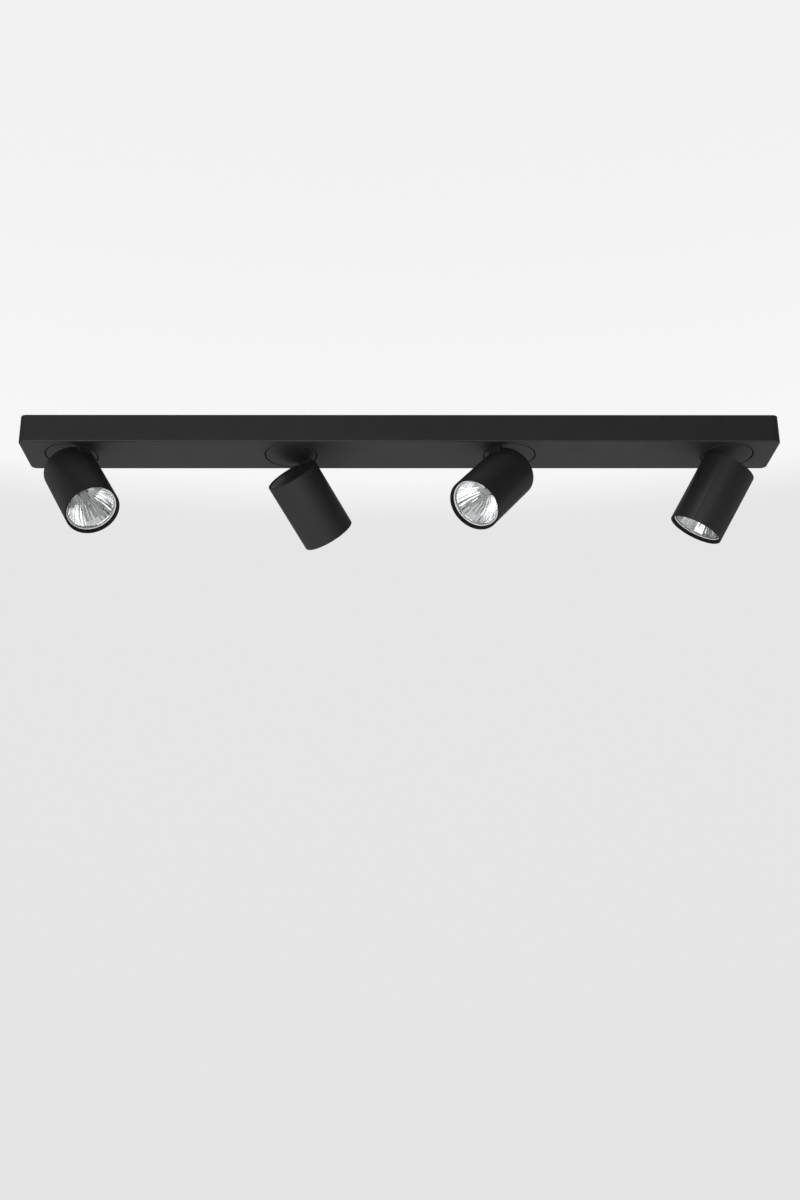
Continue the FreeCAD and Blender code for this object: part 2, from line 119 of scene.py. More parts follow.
world = bpy.data.worlds.new("studio")
bpy.context.scene.world = world
world.use_nodes = True
sky = world.node_tree
sky.nodes.clear()
direction = sky.nodes.new("ShaderNodeTexCoord")
parts = sky.nodes.new("ShaderNodeSeparateXYZ")
joined(sky, direction, "Generated", parts, 0)
height = math_node(sky, "MULTIPLY_ADD", parts.outputs["Z"], 0.5, 0.5)
seen = ramp_node(sky, height, [(0.0, 0.78), (0.695, 0.79), (0.703, 0.80), (0.716, 0.93),
                               (0.80, 0.89), (1.0, 0.86)])
lighting_height = ramp_node(sky, height, [(0.0, 0.62), (0.35, 0.55), (0.5, 0.42), (0.75, 0.40), (1.0, 0.55)])
front = math_node(sky, "MULTIPLY_ADD", parts.outputs["Y"], 0.5, 0.5)
lighting_front = ramp_node(sky, front, [(0.0, 0.18), (0.3, 0.30), (0.6, 0.80), (0.8, 1.50), (1.0, 1.80)])
sideways = math_node(sky, "ABSOLUTE", parts.outputs["X"])
dark_screens = ramp_node(sky, sideways, [(0.0, 1.0), (0.40, 1.0), (0.50, 0.10), (0.64, 0.10),
                                         (0.74, 0.8), (1.0, 0.8)])
front_share = math_node(sky, "MULTIPLY", lighting_front.outputs["Color"], dark_screens.outputs["Color"])
lighting = sky.nodes.new("ShaderNodeMix")
lighting.data_type = "RGBA"
lighting.blend_type = "MULTIPLY"
lighting.inputs["Factor"].default_value = 1.0
sky.links.new(lighting_height.outputs["Color"], lighting.inputs["A"])
sky.links.new(front_share, lighting.inputs["B"])
camera_ray = sky.nodes.new("ShaderNodeLightPath")
chosen = sky.nodes.new("ShaderNodeMix")
chosen.data_type = "RGBA"
joined(sky, camera_ray, "Is Camera Ray", chosen, "Factor")
sky.links.new(lighting.outputs["Result"], chosen.inputs["A"])
sky.links.new(seen.outputs["Color"], chosen.inputs["B"])
glow = sky.nodes.new("ShaderNodeBackground")
sky.links.new(chosen.outputs["Result"], glow.inputs["Color"])
surround = sky.nodes.new("ShaderNodeOutputWorld")
joined(sky, glow, "Background", surround, "Surface")
bpy.context.scene.view_settings.view_transform = "Standard"

floor_height = -2.4
floor_half = 20.0
floor_mesh = bpy.data.meshes.new("floor")
floor_mesh.from_pydata(
    [(x, y, floor_height) for x, y in ((-floor_half, -floor_half), (floor_half, -floor_half),
                                       (floor_half, floor_half), (-floor_half, floor_half))],
    [], [(0, 1, 2, 3)])
floor = bpy.data.objects.new("floor", floor_mesh)
bpy.context.scene.collection.objects.link(floor)
floor_paint = bpy.data.materials.new("floor_paint")
floor_paint.use_nodes = True
paint = floor_paint.node_tree
paint_place = paint.nodes.new("ShaderNodeTexCoord")
paint_cloud = paint.nodes.new("ShaderNodeTexNoise")
paint_cloud.inputs["Scale"].default_value = 0.4
paint_cloud.inputs["Detail"].default_value = 2.0
joined(paint, paint_place, "Object", paint_cloud, "Vector")
paint_tone = ramp_node(paint, paint_cloud.outputs["Fac"], [(0.3, 0.78), (0.7, 0.82)])
joined(paint, paint_tone, "Color", paint.nodes["Principled BSDF"], "Base Color")
paint.nodes["Principled BSDF"].inputs["Roughness"].default_value = 0.8
floor_mesh.materials.append(floor_paint)


def soft_lamp(name, place, target, width, height, watts):
    """A large rectangular area light aimed at a point."""
    data = bpy.data.lights.new(name, "AREA")
    data.shape = "RECTANGLE"
    data.size = width
    data.size_y = height
    data.energy = watts
    lamp = bpy.data.objects.new(name, data)
    bpy.context.scene.collection.objects.link(lamp)
    lamp.location = place
    lamp.rotation_euler = (Vector(target) - Vector(place)).to_track_quat("-Z", "Y").to_euler()


middle = (cad_box[0] + cad_box[1]) / 2
soft_lamp("key_lamp", (-0.8, -2.25, -0.6), middle, 3.0, 2.2, 41.0)
soft_lamp("floor_lamp", (0.0, 2.5, -1.2), (0.0, 2.5, floor_height), 14.0, 10.0, 225.0)


# Canopy. A long box folded from sheet steel, with a punched hole for each swivel and a dished
# bearing plate spot-welded behind it. All of it is stoved in one matte black powder coat, painted
# a touch paler on its folds, partly as a thinner coat and partly as a painted highlight.
def value_group(name, entries, exits):
    """An empty shader node group with named inputs (name, kind, value) and outputs (name, kind)."""
    group = bpy.data.node_groups.new(name, "ShaderNodeTree")
    for label, kind, value in entries:
        socket = group.interface.new_socket(name=label, in_out="INPUT", socket_type=kind)
        socket.default_value = value
    for label, kind in exits:
        group.interface.new_socket(name=label, in_out="OUTPUT", socket_type=kind)
    return group, group.nodes.new("NodeGroupInput"), group.nodes.new("NodeGroupOutput")


# Edge mask: edges take the finish's edge colour, partly wear and partly a painted highlight where rounded
# edges would catch light.
edge_group, edge_in, edge_out = value_group(
    "edge_wear_and_highlight", [("Radius", "NodeSocketFloat", 0.0005), ("Breakup", "NodeSocketFloat", 900.0)],
    [("Mask", "NodeSocketFloat")])
edge_round = edge_group.nodes.new("ShaderNodeBevel")
edge_round.samples = 6
joined(edge_group, edge_in, "Radius", edge_round, "Radius")
edge_true = edge_group.nodes.new("ShaderNodeNewGeometry")
edge_turn = edge_group.nodes.new("ShaderNodeVectorMath")
edge_turn.operation = "DOT_PRODUCT"
joined(edge_group, edge_round, "Normal", edge_turn, 0)
joined(edge_group, edge_true, "Normal", edge_turn, 1)
edge_place = edge_group.nodes.new("ShaderNodeTexCoord")
edge_noise = edge_group.nodes.new("ShaderNodeTexNoise")
edge_noise.inputs["Detail"].default_value = 3.0
joined(edge_group, edge_place, "Object", edge_noise, "Vector")
joined(edge_group, edge_in, "Breakup", edge_noise, "Scale")
edge_bend = math_node(edge_group, "SUBTRACT", 1.0, edge_turn.outputs["Value"])
edge_strong = math_node(edge_group, "MULTIPLY", edge_bend, 3.0)
edge_uneven = math_node(edge_group, "MULTIPLY_ADD", edge_noise.outputs["Fac"], 0.9, 0.35)
edge_mask = math_node(edge_group, "MULTIPLY", edge_strong, edge_uneven)
edge_held = math_node(edge_group, "MINIMUM", edge_mask, 1.0)
edge_group.links.new(edge_held, edge_out.inputs["Mask"])

grain_group, grain_in, grain_out = value_group(
    "fine_grain",
    [("Grain", "NodeSocketFloat", 1500.0), ("Waviness", "NodeSocketFloat", 160.0),
     ("Mottle", "NodeSocketFloat", 35.0)],
    [("Height", "NodeSocketFloat"), ("Shade", "NodeSocketFloat"), ("Sheen Change", "NodeSocketFloat")])
grain_place = grain_group.nodes.new("ShaderNodeTexCoord")
grain_fields = {}
for label, octaves in (("Grain", 2.0), ("Waviness", 1.0), ("Mottle", 4.0)):
    field = grain_group.nodes.new("ShaderNodeTexNoise")
    field.inputs["Detail"].default_value = octaves
    joined(grain_group, grain_place, "Object", field, "Vector")
    joined(grain_group, grain_in, label, field, "Scale")
    grain_fields[label] = field.outputs["Fac"]
grain_height = math_node(grain_group, "MULTIPLY_ADD", grain_fields["Waviness"], 0.6, grain_fields["Grain"])
grain_group.links.new(grain_height, grain_out.inputs["Height"])
grain_shade = math_node(grain_group, "MULTIPLY_ADD", grain_fields["Mottle"], 0.6, 0.2)
grain_group.links.new(grain_shade, grain_out.inputs["Shade"])
grain_sheen = math_node(grain_group, "SUBTRACT", grain_fields["Mottle"], 0.5)
grain_group.links.new(grain_sheen, grain_out.inputs["Sheen Change"])


def placed_group(tree, group, values):
    """One use of a node group in a material, with its own numbers."""
    node = tree.nodes.new("ShaderNodeGroup")
    node.node_tree = group
    for label, value in values.items():
        node.inputs[label].default_value = value
    return node


def mixed_colour(tree, factor, first, second):
    """A colour mix whose ends are colours or sockets."""
    node = tree.nodes.new("ShaderNodeMix")
    node.data_type = "RGBA"
    for entry, value in ((node.inputs["A"], first), (node.inputs["B"], second)):
        if isinstance(value, tuple):
            entry.default_value = (*value, 1.0)
        else:
            tree.links.new(value, entry)
    tree.links.new(factor, node.inputs["Factor"])
    return node.outputs["Result"]


def bumped(tree, height, depth):
    """Relief of a given depth on the material's own normal."""
    bump = tree.nodes.new("ShaderNodeBump")
    bump.inputs["Distance"].default_value = depth
    tree.links.new(height, bump.inputs["Height"])
    joined(tree, bump, "Normal", tree.nodes["Principled BSDF"], "Normal")


def finish_of(name, dark, light, worn_and_highlit_edge, roughness, variation, depth, grain_sizes=None, metal=0.0):
    """A grained finish: two mottled tones, paler or darker edges (partly wear, partly a painted highlight),
    uneven gloss and fine relief.
    """
    material = bpy.data.materials.new(name)
    material.use_nodes = True
    tree = material.node_tree
    shader = tree.nodes["Principled BSDF"]
    shader.inputs["Metallic"].default_value = metal
    grain = placed_group(tree, grain_group, grain_sizes or {})
    edge = placed_group(tree, edge_group, {})
    mottled = mixed_colour(tree, grain.outputs["Shade"], dark, light)
    tree.links.new(mixed_colour(tree, edge.outputs["Mask"], mottled, worn_and_highlit_edge), shader.inputs["Base Color"])
    rough = math_node(tree, "MULTIPLY_ADD", grain.outputs["Sheen Change"], variation, roughness)
    tree.links.new(rough, shader.inputs["Roughness"])
    bumped(tree, grain.outputs["Height"], depth)
    return material


def dressed(names, material):
    """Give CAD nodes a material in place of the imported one."""
    for name in names:
        slots = frame["nodes"][name].data.materials
        slots.clear()
        slots.append(material)


def numbered(kind):
    """The four nodes of one kind, one for each head."""
    return ["%s_%d" % (kind, number) for number in range(1, 5)]


black_coat = finish_of("black_coat", (0.012, 0.012, 0.013), (0.019, 0.019, 0.020), (0.030, 0.030, 0.031),
                       0.52, 0.12, 0.00003)
dressed(["canopy", "bearing_plates"], black_coat)

black_steel = finish_of("black_steel", (0.035, 0.034, 0.033), (0.075, 0.072, 0.070), (0.30, 0.29, 0.28),
                        0.38, 0.3, 0.000008, {"Grain": 2600.0, "Mottle": 400.0}, metal=1.0)
dressed(["canopy_screws"], black_steel)


# Mounting bracket. A strip of zinc-plated steel screwed to the ceiling, whose turned-down end
# tabs take the canopy's grub screws. A black moulded bush lines its cable hole.
def zinc_plating(name, along):
    """Bright zinc over rolled steel: cool cloudy tones and fine rolling lines."""
    material = finish_of(name, (0.42, 0.44, 0.47), (0.66, 0.67, 0.68), (0.82, 0.82, 0.82),
                         0.34, 0.35, 0.000006, {"Mottle": 120.0}, metal=1.0)
    tree = material.node_tree
    place = tree.nodes.new("ShaderNodeTexCoord")
    stretch = tree.nodes.new("ShaderNodeMapping")
    stretch.inputs["Scale"].default_value = along
    joined(tree, place, "Object", stretch, "Vector")
    lines = tree.nodes.new("ShaderNodeTexNoise")
    lines.inputs["Scale"].default_value = 1.0
    lines.inputs["Detail"].default_value = 3.0
    joined(tree, stretch, "Vector", lines, "Vector")
    relief = tree.nodes["Bump"]
    relief.inputs["Distance"].default_value = 0.00001
    joined(tree, lines, "Fac", relief, "Height")
    return material


rolled_zinc = zinc_plating("rolled_zinc", (60.0, 2400.0, 2400.0))
dressed(["mounting_bracket"], rolled_zinc)
black_nylon = finish_of("black_nylon", (0.018, 0.018, 0.019), (0.034, 0.034, 0.035), (0.06, 0.06, 0.06),
                        0.42, 0.2, 0.00002, {"Grain": 1900.0})
dressed(["entry_bush"], black_nylon)


# Terminal block. Moulded in off-white nylon under the bracket, with three brass barrels that
# clamp the wires under slotted screws.
white_nylon = finish_of("white_nylon", (0.62, 0.60, 0.54), (0.74, 0.72, 0.66), (0.82, 0.80, 0.74),
                        0.38, 0.2, 0.00002, {"Grain": 1400.0, "Mottle": 90.0})
dressed(["terminal_block"], white_nylon)
turned_brass = finish_of("turned_brass", (0.52, 0.36, 0.13), (0.76, 0.57, 0.25), (0.88, 0.72, 0.38),
                         0.30, 0.3, 0.000008, {"Grain": 3200.0, "Mottle": 260.0}, metal=1.0)
dressed(["terminal_clamps"], turned_brass)
turned_zinc = zinc_plating("turned_zinc", (1800.0, 1800.0, 240.0))
dressed(["terminal_screws", "earth_screw"], turned_zinc)


# Leads. Stranded wires in soft insulation run along the bar from the block into each swivel's
# hollow stem. The earth wire is striped along its length and ends in a tinned ring tag.
def insulation(name, dark, light):
    """Extruded plastic insulation: even colour, a soft sheen and faint drawing marks."""
    return finish_of(name, dark, light, light, 0.36, 0.25, 0.000015, {"Grain": 700.0, "Mottle": 60.0})


dressed(["live_leads"], insulation("brown_insulation", (0.10, 0.035, 0.015), (0.17, 0.062, 0.028)))
dressed(["neutral_leads"], insulation("blue_insulation", (0.015, 0.06, 0.28), (0.03, 0.11, 0.42)))
earth_insulation = insulation("earth_insulation", (0.05, 0.24, 0.03), (0.08, 0.32, 0.05))
earth_tree = earth_insulation.node_tree
earth_shader = earth_tree.nodes["Principled BSDF"]
earth_green = earth_shader.inputs["Base Color"].links[0].from_socket
earth_place = earth_tree.nodes.new("ShaderNodeTexCoord")
earth_stripe = earth_tree.nodes.new("ShaderNodeTexWave")
earth_stripe.bands_direction = "Z"
earth_stripe.inputs["Scale"].default_value = 180.0
joined(earth_tree, earth_place, "Object", earth_stripe, "Vector")
earth_bands = ramp_node(earth_tree, earth_stripe.outputs["Fac"], [(0.48, 0.0), (0.52, 1.0)])
earth_striped = mixed_colour(earth_tree, earth_bands.outputs["Color"], earth_green, (0.72, 0.60, 0.03))
tag_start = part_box("earth_lead")[1].x - 0.0172
earth_parts = earth_tree.nodes.new("ShaderNodeSeparateXYZ")
joined(earth_tree, earth_place, "Object", earth_parts, 0)
tag_mask = math_node(earth_tree, "GREATER_THAN", earth_parts.outputs["X"], tag_start)
earth_tree.links.new(mixed_colour(earth_tree, tag_mask, earth_striped, (0.70, 0.69, 0.66)),
                     earth_shader.inputs["Base Color"])
earth_tree.links.new(tag_mask, earth_shader.inputs["Metallic"])
dressed(["earth_lead"], earth_insulation)


# Swivels. A round steel disc sits flush in each canopy hole, coated like the canopy. A painted
# zinc casting is peened under it near the rim and carries the head's hinge pin.
black_casting = finish_of(
    "black_casting", (0.010, 0.010, 0.011), (0.017, 0.017, 0.018), (0.045, 0.045, 0.046),
    0.46, 0.2, 0.00005, {"Grain": 900.0, "Waviness": 240.0})
dressed(numbered("swivel_disc"), black_coat)
dressed(numbered("hinge_arm"), black_casting)


# Hubs. Each disc's hollow stem passes up through its bearing plate, where a spring washer and
# a thin nut hold it. The stem's end is threaded; the ridges above the nut are one spiral.
def node_tree(name, entries):
    """An empty geometry tree with named inputs (name, kind, value) besides its geometry."""
    tree = bpy.data.node_groups.new(name, "GeometryNodeTree")
    tree.interface.new_socket(name="Geometry", in_out="INPUT", socket_type="NodeSocketGeometry")
    for label, kind, value in entries:
        socket = tree.interface.new_socket(name=label, in_out="INPUT", socket_type=kind)
        if value is not None:
            socket.default_value = value
    tree.interface.new_socket(name="Geometry", in_out="OUTPUT", socket_type="NodeSocketGeometry")
    return tree, tree.nodes.new("NodeGroupInput"), tree.nodes.new("NodeGroupOutput")


def tree_end(tree, source, output, group_in, group_out):
    """Make instances real and give the result its material."""
    real = tree.nodes.new("GeometryNodeRealizeInstances")
    joined(tree, source, output, real, "Geometry")
    dress = tree.nodes.new("GeometryNodeSetMaterial")
    joined(tree, real, "Geometry", dress, "Geometry")
    joined(tree, group_in, "Material", dress, "Material")
    joined(tree, dress, "Geometry", group_out, "Geometry")


def grown(name, tree, values, base=None):
    """The plain mesh that a geometry tree makes, from a starting mesh if it needs one."""
    source = bpy.data.objects.new(name + "_source", base or bpy.data.meshes.new(name + "_source"))
    bpy.context.scene.collection.objects.link(source)
    modifier = source.modifiers.new(name, "NODES")
    modifier.node_group = tree
    for item in tree.interface.items_tree:
        if item.in_out == "INPUT" and item.name in values:
            modifier[item.identifier] = values[item.name]
    bpy.context.view_layer.update()
    evaluated = source.evaluated_get(bpy.context.evaluated_depsgraph_get())
    mesh = bpy.data.meshes.new_from_object(evaluated)
    mesh.name = name
    source.modifiers.clear()
    bpy.data.objects.remove(source)
    return mesh


def set_piece(name, mesh, place, body):
    """A finished piece: its place goes into its mesh, and it rides on a body."""
    own_mesh = mesh.copy()
    own_mesh.transform(place)
    piece = bpy.data.objects.new(name, own_mesh)
    bpy.context.scene.collection.objects.link(piece)
    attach(piece, body)
    return piece


thread_tree, thread_in, thread_out = node_tree(
    "stem_thread", [("Radius", "NodeSocketFloat", 0.005), ("Pitch", "NodeSocketFloat", 0.001),
                    ("Turns", "NodeSocketFloat", 2.0), ("Ridge", "NodeSocketFloat", 0.0003),
                    ("Material", "NodeSocketMaterial", None)])
thread_line = thread_tree.nodes.new("GeometryNodeCurveSpiral")
thread_line.inputs["Resolution"].default_value = 40
joined(thread_tree, thread_in, "Turns", thread_line, "Rotations")
joined(thread_tree, thread_in, "Radius", thread_line, "Start Radius")
joined(thread_tree, thread_in, "Radius", thread_line, "End Radius")
thread_rise = math_node(thread_tree, "MULTIPLY", thread_in.outputs["Pitch"], thread_in.outputs["Turns"])
thread_tree.links.new(thread_rise, thread_line.inputs["Height"])
thread_ridge = thread_tree.nodes.new("GeometryNodeCurvePrimitiveCircle")
thread_ridge.inputs["Resolution"].default_value = 4
joined(thread_tree, thread_in, "Ridge", thread_ridge, "Radius")
thread_sweep = thread_tree.nodes.new("GeometryNodeCurveToMesh")
thread_sweep.inputs["Fill Caps"].default_value = True
joined(thread_tree, thread_line, "Curve", thread_sweep, "Curve")
joined(thread_tree, thread_ridge, "Curve", thread_sweep, "Profile Curve")
tree_end(thread_tree, thread_sweep, "Mesh", thread_in, thread_out)

dressed(numbered("hub_stem") + numbered("hub_fixings"), turned_zinc)
joints = {joint["name"]: joint for joint in frame["joints"]}
thread_height = 0.0137      # where the free thread starts, over the canopy's underside
thread_mesh = grown("stem_thread", thread_tree, {"Radius": 0.0049, "Pitch": 0.0005, "Turns": 2.0,
                                                 "Ridge": 0.00022, "Material": turned_zinc})
for number in range(1, 5):
    hub_place = Vector(joints["pan_%d" % number]["pos_m"]) + Vector((0.0, 0.0, thread_height))
    set_piece("stem_thread_%d" % number, thread_mesh, Matrix.Translation(hub_place),
              "swivel_%d" % number)


# Housings. Deep round steel cans, coated outside, here a shade darker than the canopy as painted
# shade, and painted a flatter, deeper black inside and round the mouth. Each is closed by a cast
# cap whose two ears hold the hinge arm on a headed steel pin.
def head_turn(number):
    """The rotation of one head at rest: +Z runs up its housing and +X the way it leans."""
    joint = joints["tilt_%d" % number]
    heading = math.atan2(joint["axis"][0], -joint["axis"][1])
    lean = -math.radians(joint["range_deg"][0])
    return Matrix.Rotation(heading, 4, "Z") @ Matrix.Rotation(-lean, 4, "Y")


def lamp_place(number):
    """A lamp's own frame: the centre of its face, turned with its head."""
    low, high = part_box("lamp_glass_%d" % number)
    up = head_turn(number) @ Vector((0.0, 0.0, 1.0))
    return Matrix.Translation((low + high) / 2 - up * glass_middle) @ head_turn(number)


glass_middle = 0.00105      # from the lamp's face to the middle of its front glass
lining_radius = 0.0260      # just over the can's inner radius
mouth_edge = -0.0030        # just above the can's rim, seen from the lamp's face
# The outer coat is a shade darker than the canopy's, as painted shade on the heads.
lined_coat = finish_of("lined_coat", (0.010, 0.010, 0.011), (0.016, 0.016, 0.017), (0.027, 0.027, 0.028),
                       0.52, 0.12, 0.00003)
lined_tree = lined_coat.node_tree
lined_shader = lined_tree.nodes["Principled BSDF"]
# Faces inside the can and round its mouth are painted near-black and made rougher.
lining = lined_tree.nodes.new("ShaderNodeAttribute")
lining.attribute_name = "lining"
coat_colour = lined_shader.inputs["Base Color"].links[0].from_socket
coat_rough = lined_shader.inputs["Roughness"].links[0].from_socket
lined_tree.links.new(mixed_colour(lined_tree, lining.outputs["Fac"], coat_colour, (0.003, 0.003, 0.003)),
                     lined_shader.inputs["Base Color"])
lined_tree.links.new(math_node(lined_tree, "MULTIPLY_ADD", lining.outputs["Fac"], 0.4, coat_rough),
                     lined_shader.inputs["Roughness"])
for number in range(1, 5):
    can_mesh = frame["nodes"]["head_tube_%d" % number].data.copy()
    can_mesh.name = "housing"
    can = bmesh.new()
    can.from_mesh(can_mesh)
    bmesh.ops.remove_doubles(can, verts=can.verts, dist=0.000002)
    can.to_mesh(can_mesh)
    can.free()
    to_lamp = lamp_place(number).inverted()
    is_lining = can_mesh.attributes.new("lining", "FLOAT", "FACE")
    for face in can_mesh.polygons:
        middle_point = to_lamp @ face.center
        inside = middle_point.xy.length < lining_radius or middle_point.z < mouth_edge
        is_lining.data[face.index].value = 1.0 if inside else 0.0
    can_mesh.materials.clear()
    can_mesh.materials.append(lined_coat)
    can_mesh.shade_smooth()
    can_mesh.set_sharp_from_angle(angle=math.radians(35.0))
    housing = set_piece("housing_%d" % number, can_mesh, Matrix.Identity(4), "head_%d" % number)
    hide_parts("head_tube_%d" % number)
dressed(numbered("top_cap"), black_casting)
dressed(numbered("pivot_pin"), black_steel)


# Lampholders. Unglazed ceramic, faintly speckled, hung under the cap on two plated screws.
ceramic = finish_of("ceramic", (0.60, 0.57, 0.51), (0.76, 0.73, 0.67), (0.80, 0.78, 0.73),
                    0.72, 0.15, 0.00006, {"Grain": 1100.0, "Mottle": 420.0})
dressed(numbered("lampholder"), ceramic)
dressed(numbered("holder_screws"), turned_zinc)


# Lamp reflectors. Pressed glass bowls, silvered inside over narrow radial flutes, with a bare
# glass rim round the front glass. They stand for the lamp bodies with the bases and pins below.
def turned(name, profile, steps, smooth=True):
    """A closed lathe mesh from (radius, height) points; ends on the axis close to a point."""
    shape = bmesh.new()
    rows = []
    for radius, height in profile:
        if radius == 0.0:
            rows.append([shape.verts.new((0.0, 0.0, height))])
            continue
        angles = [2 * math.pi * k / steps for k in range(steps)]
        rows.append([shape.verts.new((radius * math.cos(a), radius * math.sin(a), height)) for a in angles])
    pairs = list(zip(rows, rows[1:]))
    if len(rows[0]) > 1:
        pairs.append((rows[-1], rows[0]))
    for low, high in pairs:
        for k in range(steps):
            corners = [low[k % len(low)], low[(k + 1) % len(low)],
                       high[(k + 1) % len(high)], high[k % len(high)]]
            shape.faces.new(list(dict.fromkeys(corners)))
    bmesh.ops.recalc_face_normals(shape, faces=shape.faces)
    mesh = bpy.data.meshes.new(name)
    shape.to_mesh(mesh)
    shape.free()
    if smooth:
        mesh.shade_smooth()
    return mesh


def bowl(rim_radius, rim_height, vertex, end_radius, steps):
    """A parabola's arc from its rim inwards, as (radius, height) points."""
    scale = rim_radius ** 2 / (vertex - rim_height)
    radii = [rim_radius + (end_radius - rim_radius) * k / steps for k in range(steps + 1)]
    return [(radius, vertex - radius ** 2 / scale) for radius in radii]


flute_count = 30
lamp_steps = flute_count * 8
mirror_rows = bowl(0.0232, 0.0018, 0.0298, 0.0052, 24)
back_rows = bowl(0.0244, 0.0026, 0.0330, 0.0088, 12)
rim_rows = [(0.02360, 0.0018), (0.02360, 0.0003), (0.02385, 0.0), (0.02465, 0.0), (0.0250, 0.0003),
            (0.0250, 0.0023), (0.0248, 0.0026)]
neck_rows = [(0.0088, 0.0358), (0.0052, 0.0358)]
lamp_rows = mirror_rows[::-1] + rim_rows + back_rows + neck_rows
reflector_base = turned("reflector_base", lamp_rows, lamp_steps)
silvering = reflector_base.attributes.new("silvering", "FLOAT", "POINT")
fluting = reflector_base.attributes.new("fluting", "FLOAT", "POINT")
mirror_count = len(mirror_rows)
for row, (radius, height) in enumerate(lamp_rows):
    share = 1.0
    if row == mirror_count - 1:
        share = 0.5
    elif mirror_count <= row < mirror_count + len(rim_rows):
        share = 0.0
    is_fluted = row < mirror_count - 1
    for vertex in range(row * lamp_steps, (row + 1) * lamp_steps):
        silvering.data[vertex].value = share
        fluting.data[vertex].value = radius / mirror_rows[0][0] if is_fluted else 0.0

flute_tree, flute_in, flute_out = node_tree(
    "reflector_flutes", [("Flutes", "NodeSocketFloat", 30.0), ("Depth", "NodeSocketFloat", 0.0003),
                         ("Seed", "NodeSocketInt", 7), ("Material", "NodeSocketMaterial", None)])
flute_spot = flute_tree.nodes.new("GeometryNodeInputPosition")
flute_parts = flute_tree.nodes.new("ShaderNodeSeparateXYZ")
joined(flute_tree, flute_spot, "Position", flute_parts, 0)
flute_angle = math_node(flute_tree, "ARCTAN2", flute_parts.outputs["Y"], flute_parts.outputs["X"])
flute_turn = math_node(flute_tree, "MULTIPLY", flute_angle, flute_in.outputs["Flutes"])
flute_phase = math_node(flute_tree, "DIVIDE", flute_turn, 2 * math.pi)
flute_wave = math_node(flute_tree, "PINGPONG", flute_phase, 0.5)
flute_uneven = flute_tree.nodes.new("FunctionNodeRandomValue")
flute_uneven.data_type = "FLOAT"
flute_uneven.inputs[2].default_value = 0.9
flute_uneven.inputs[3].default_value = 2.0
flute_tree.links.new(math_node(flute_tree, "FLOOR", flute_phase), flute_uneven.inputs["ID"])
joined(flute_tree, flute_in, "Seed", flute_uneven, "Seed")
flute_share = flute_tree.nodes.new("GeometryNodeInputNamedAttribute")
flute_share.data_type = "FLOAT"
flute_share.inputs["Name"].default_value = "fluting"
flute_deep = math_node(flute_tree, "MULTIPLY", flute_wave, flute_share.outputs["Attribute"])
flute_own = math_node(flute_tree, "MULTIPLY", flute_deep, flute_uneven.outputs[1])
flute_rise = math_node(flute_tree, "MULTIPLY", flute_own, flute_in.outputs["Depth"])
flute_normal = flute_tree.nodes.new("GeometryNodeInputNormal")
flute_offset = flute_tree.nodes.new("ShaderNodeVectorMath")
flute_offset.operation = "SCALE"
joined(flute_tree, flute_normal, "Normal", flute_offset, 0)
flute_tree.links.new(flute_rise, flute_offset.inputs["Scale"])
flute_move = flute_tree.nodes.new("GeometryNodeSetPosition")
joined(flute_tree, flute_in, "Geometry", flute_move, "Geometry")
joined(flute_tree, flute_offset, "Vector", flute_move, "Offset")
tree_end(flute_tree, flute_move, "Geometry", flute_in, flute_out)

silvered_glass = bpy.data.materials.new("silvered_glass")
silvered_glass.use_nodes = True
silver_tree = silvered_glass.node_tree
silver_shader = silver_tree.nodes["Principled BSDF"]
silver_share = silver_tree.nodes.new("ShaderNodeAttribute")
silver_share.attribute_name = "silvering"
silver_grain = placed_group(silver_tree, grain_group, {"Grain": 500.0, "Mottle": 90.0})
silver_tone = mixed_colour(silver_tree, silver_grain.outputs["Shade"], (0.86, 0.87, 0.88), (0.95, 0.95, 0.95))
silver_bare = ramp_node(silver_tree, silver_share.outputs["Fac"], [(0.1, (0.93, 0.94, 0.92)), (0.4, 0.10)])
silver_metal = ramp_node(silver_tree, silver_share.outputs["Fac"], [(0.5, 0.0), (0.8, 1.0)])
silver_colour = mixed_colour(silver_tree, silver_metal.outputs["Color"],
                             silver_bare.outputs["Color"], silver_tone)
silver_tree.links.new(silver_colour, silver_shader.inputs["Base Color"])
joined(silver_tree, silver_metal, "Color", silver_shader, "Metallic")
silver_haze = math_node(silver_tree, "MULTIPLY_ADD", silver_grain.outputs["Sheen Change"], 0.06, 0.09)
silver_plain = math_node(silver_tree, "SUBTRACT", 1.0, silver_share.outputs["Fac"])
silver_rough = math_node(silver_tree, "MULTIPLY_ADD", silver_plain, 0.2, silver_haze)
silver_tree.links.new(silver_rough, silver_shader.inputs["Roughness"])
bumped(silver_tree, silver_grain.outputs["Height"], 0.000006)
reflector_mesh = grown("lamp_reflector", flute_tree,
                       {"Flutes": float(flute_count), "Depth": 0.0003, "Seed": 7, "Material": silvered_glass},
                       reflector_base)
half_flute = lamp_steps // (2 * flute_count)      # steps from a ridge to the next valley
fluted_vertices = (mirror_count - 1) * lamp_steps
for edge in reflector_mesh.edges:
    first, second = edge.vertices
    on_crease = first % half_flute == 0 and second % half_flute == 0
    edge.use_edge_sharp = on_crease and max(first, second) < fluted_vertices


for number in range(1, 5):
    reflector = set_piece("lamp_reflector_%d" % number, reflector_mesh, lamp_place(number),
                          "head_%d" % number)
    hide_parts("lamp_body_%d" % number)


